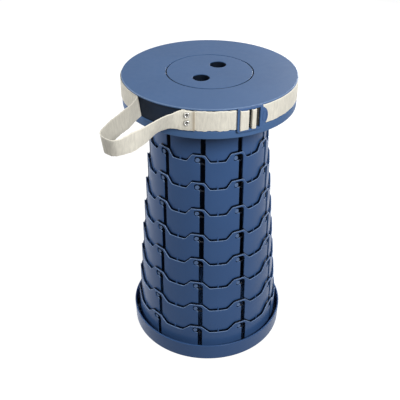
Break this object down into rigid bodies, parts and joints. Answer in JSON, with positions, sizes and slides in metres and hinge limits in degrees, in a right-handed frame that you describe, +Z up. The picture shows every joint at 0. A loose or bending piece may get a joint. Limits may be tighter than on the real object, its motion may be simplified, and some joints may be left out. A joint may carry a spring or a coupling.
{
  "type": "telescopic stool",
  "caption": "Round telescopic stool: slotted rings that nest in a base tray, a seat with a lift-out lid, and a buckled carrying strap with a hand loop.",
  "frame": {"origin": "centre of the base tray's flat underside, on the floor", "axes": "+Z up along the axis of the nested rings; -Y is the front, with the strap's rivets and buckle; +X is the right-hand side seen from the front"},
  "size_m": [0.2637, 0.3037, 0.45],
  "materials": {
    "ring_plastic": "satin",
    "seat_plastic": "satin",
    "buckle_plastic": "satin",
    "webbing": "matte",
    "rivet_steel": "polished",
    "screw_steel": "satin"
  },
  "bodies": {
    "base": {"base_tray": "ring_plastic", "ring_9": "ring_plastic"},
    "ring_8": {"ring_8": "ring_plastic"},
    "ring_7": {"ring_7": "ring_plastic"},
    "ring_6": {"ring_6": "ring_plastic"},
    "ring_5": {"ring_5": "ring_plastic"},
    "ring_4": {"ring_4": "ring_plastic"},
    "ring_3": {"ring_3": "ring_plastic"},
    "ring_2": {"ring_2": "ring_plastic"},
    "ring_1": {"ring_1": "ring_plastic"},
    "seat": {"seat_collar": "ring_plastic", "collar_screw_1": "screw_steel", "collar_screw_2": "screw_steel", "collar_screw_3": "screw_steel", "collar_screw_4": "screw_steel", "collar_screw_5": "screw_steel", "seat_shell": "seat_plastic", "strap_belt": "webbing", "strap_hand_loop": "webbing", "strap_anchor": "webbing", "buckle": "buckle_plastic", "rivet_upper": "rivet_steel", "rivet_lower": "rivet_steel", "rivet_washer_upper": "rivet_steel", "rivet_washer_lower": "rivet_steel"},
    "lid": {"seat_lid": "seat_plastic"}
  },
  "joints": [
    {"name": "ring_8_slide", "type": "slide", "parent": "base", "child": "ring_8", "axis": [0, 0, 1], "range_m": [-0.04178, 0]},
    {"name": "ring_7_slide", "type": "slide", "parent": "ring_8", "child": "ring_7", "axis": [0, 0, 1], "range_m": [-0.04178, 0]},
    {"name": "ring_6_slide", "type": "slide", "parent": "ring_7", "child": "ring_6", "axis": [0, 0, 1], "range_m": [-0.04178, 0]},
    {"name": "ring_5_slide", "type": "slide", "parent": "ring_6", "child": "ring_5", "axis": [0, 0, 1], "range_m": [-0.04178, 0]},
    {"name": "ring_4_slide", "type": "slide", "parent": "ring_5", "child": "ring_4", "axis": [0, 0, 1], "range_m": [-0.04178, 0]},
    {"name": "ring_3_slide", "type": "slide", "parent": "ring_4", "child": "ring_3", "axis": [0, 0, 1], "range_m": [-0.04178, 0]},
    {"name": "ring_2_slide", "type": "slide", "parent": "ring_3", "child": "ring_2", "axis": [0, 0, 1], "range_m": [-0.04178, 0]},
    {"name": "ring_1_slide", "type": "slide", "parent": "ring_2", "child": "ring_1", "axis": [0, 0, 1], "range_m": [-0.04178, 0]},
    {"name": "seat_slide", "type": "slide", "parent": "ring_1", "child": "seat", "axis": [0, 0, 1], "range_m": [-0.04178, 0]},
    {"name": "lid_lift", "type": "slide", "parent": "seat", "child": "lid", "axis": [0, 0, 1], "range_m": [0, 0.0135]}
  ]
}
